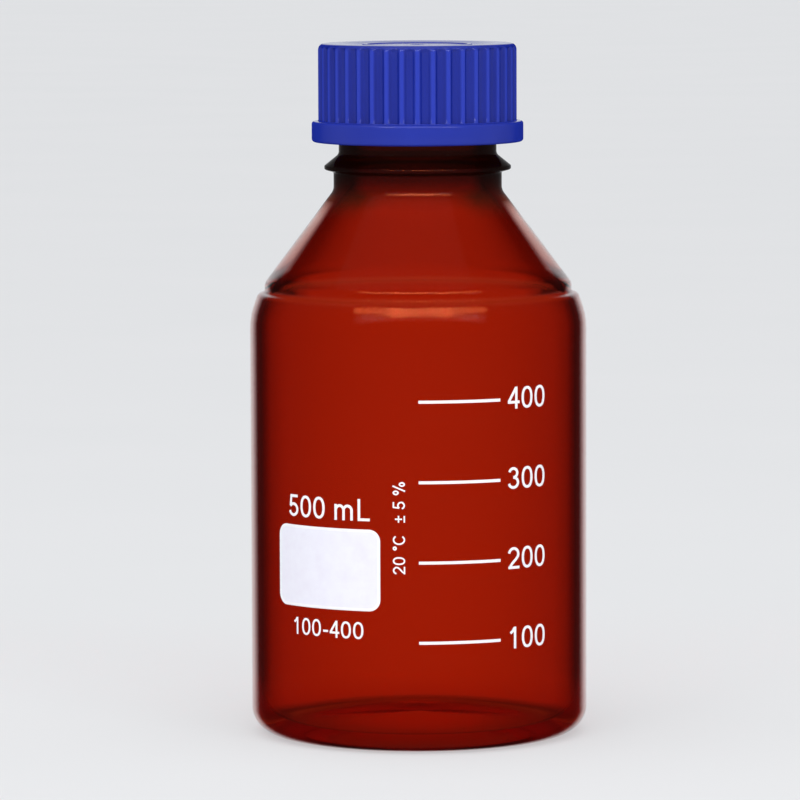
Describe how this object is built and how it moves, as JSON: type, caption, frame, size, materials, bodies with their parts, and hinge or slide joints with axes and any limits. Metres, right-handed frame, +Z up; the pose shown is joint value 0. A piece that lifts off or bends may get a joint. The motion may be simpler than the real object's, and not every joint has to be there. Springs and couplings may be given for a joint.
{
  "type": "reagent bottle",
  "caption": "Round amber glass laboratory bottle with a scale and a writing panel, a pouring ring on its mouth and a ribbed blue screw cap that unscrews.",
  "frame": {"origin": "centre of the underside, on the table the bottle stands on", "axes": "+Z up along the bottle's axis to the cap; -Y is the front, where the scale and the writing panel are; +X to the right seen from the front"},
  "size_m": [0.086, 0.0861, 0.1761],
  "materials": {
    "amber_glass": "clear red-brown borosilicate glass, fire-polished",
    "cap_plastic": "blue polypropylene, satin as moulded",
    "ring_plastic": "blue polypropylene, satin as moulded",
    "silicone": "pale silicone rubber, matt",
    "facing_film": "white fluoropolymer film, smooth",
    "white_enamel": "white fired enamel print"
  },
  "bodies": {
    "bottle": {"bottle": "amber_glass", "pouring_ring": "ring_plastic", "writing_panel": "white_enamel", "scale_lines_print": "white_enamel"},
    "seal": {"sealing_disc": "silicone", "disc_facing": "facing_film"},
    "cap": {"screw_cap": "cap_plastic"}
  },
  "joints": [
    {"name": "cap_lift", "type": "slide", "parent": "bottle", "child": "seal", "axis": [0, 0, 1], "range_m": [0, 0.028]},
    {"name": "cap_turn", "type": "hinge", "parent": "seal", "child": "cap", "pos_m": [0, 0, 0.1603], "axis": [0, 0, 1], "range_deg": [0, 2520]}
  ],
  "couplings": [
    {"joint": "cap_lift", "follows": "cap_turn", "m_per_rad": 0.00063662}
  ]
}
